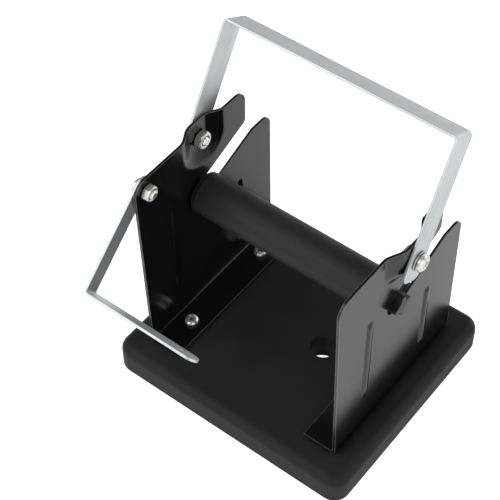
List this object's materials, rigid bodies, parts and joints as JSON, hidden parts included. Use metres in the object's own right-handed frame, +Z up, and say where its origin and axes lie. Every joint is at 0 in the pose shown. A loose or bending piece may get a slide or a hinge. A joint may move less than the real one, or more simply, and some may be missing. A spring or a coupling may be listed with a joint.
{
  "type": "solder wire reel stand",
  "caption": "Bench stand for a solder wire reel: slab base, two slotted side plates, a lift-out roller, a swinging U-shaped bar and an L-shaped wire guide arm.",
  "frame": {"origin": "centre of the anti-slip sheet's underside, on the bench", "axes": "+X along the roller to the right, +Y to the back, +Z up"},
  "size_m": [0.148, 0.1616, 0.1923],
  "materials": {
    "slab_black": "satin black with a fine texture",
    "plate_black": "glossy black paint on sheet steel",
    "tube_black": "matte black",
    "plug_black": "moulded black",
    "zinc_strip": "zinc-plated strip with a fine grain",
    "nickel": "bright nickel plate",
    "plain_steel": "plain machined steel",
    "pad_rubber": "matte anti-slip sheet"
  },
  "bodies": {
    "stand": {"base_slab": "slab_black", "anti_slip_pad": "pad_rubber", "left_side_plate": "plate_black", "right_side_plate": "plate_black", "flange_screw_left_front": "nickel", "flange_screw_left_rear": "nickel", "flange_screw_right_front": "nickel", "flange_screw_right_rear": "nickel", "guide_bar_left_bolt": "nickel", "guide_bar_left_nut": "nickel", "guide_bar_left_washer": "plain_steel", "guide_bar_right_bolt": "nickel", "guide_bar_right_nut": "nickel", "guide_bar_right_washer": "plain_steel", "guide_arm_bolt": "nickel", "guide_arm_nut": "nickel", "guide_arm_washer": "plain_steel"},
    "swing_bar": {"guide_bar": "zinc_strip"},
    "swing_arm": {"guide_arm": "zinc_strip"},
    "axle": {"axle_rod": "plain_steel", "axle_end_left": "plug_black", "axle_end_right": "plug_black"},
    "roller": {"reel_tube": "tube_black", "tube_bush_left": "plug_black", "tube_bush_right": "plug_black"}
  },
  "joints": [
    {"name": "bar_hinge", "type": "hinge", "parent": "stand", "child": "swing_bar", "pos_m": [0, -0.002, 0.1314], "axis": [1, 0, 0], "range_deg": [-75, 85]},
    {"name": "arm_hinge", "type": "hinge", "parent": "stand", "child": "swing_arm", "pos_m": [-0.0616, -0.0482, 0.1355], "axis": [1, 0, 0], "range_deg": [-80, 30]},
    {"name": "axle_lift_out", "type": "slide", "parent": "stand", "child": "axle", "axis": [0, 0.9311, 0.3649], "range_m": [0, 0.05]},
    {"name": "roller_spin", "type": "hinge", "parent": "axle", "child": "roller", "pos_m": [0, -0.0068, 0.1001], "axis": [1, 0, 0], "continuous": true}
  ]
}
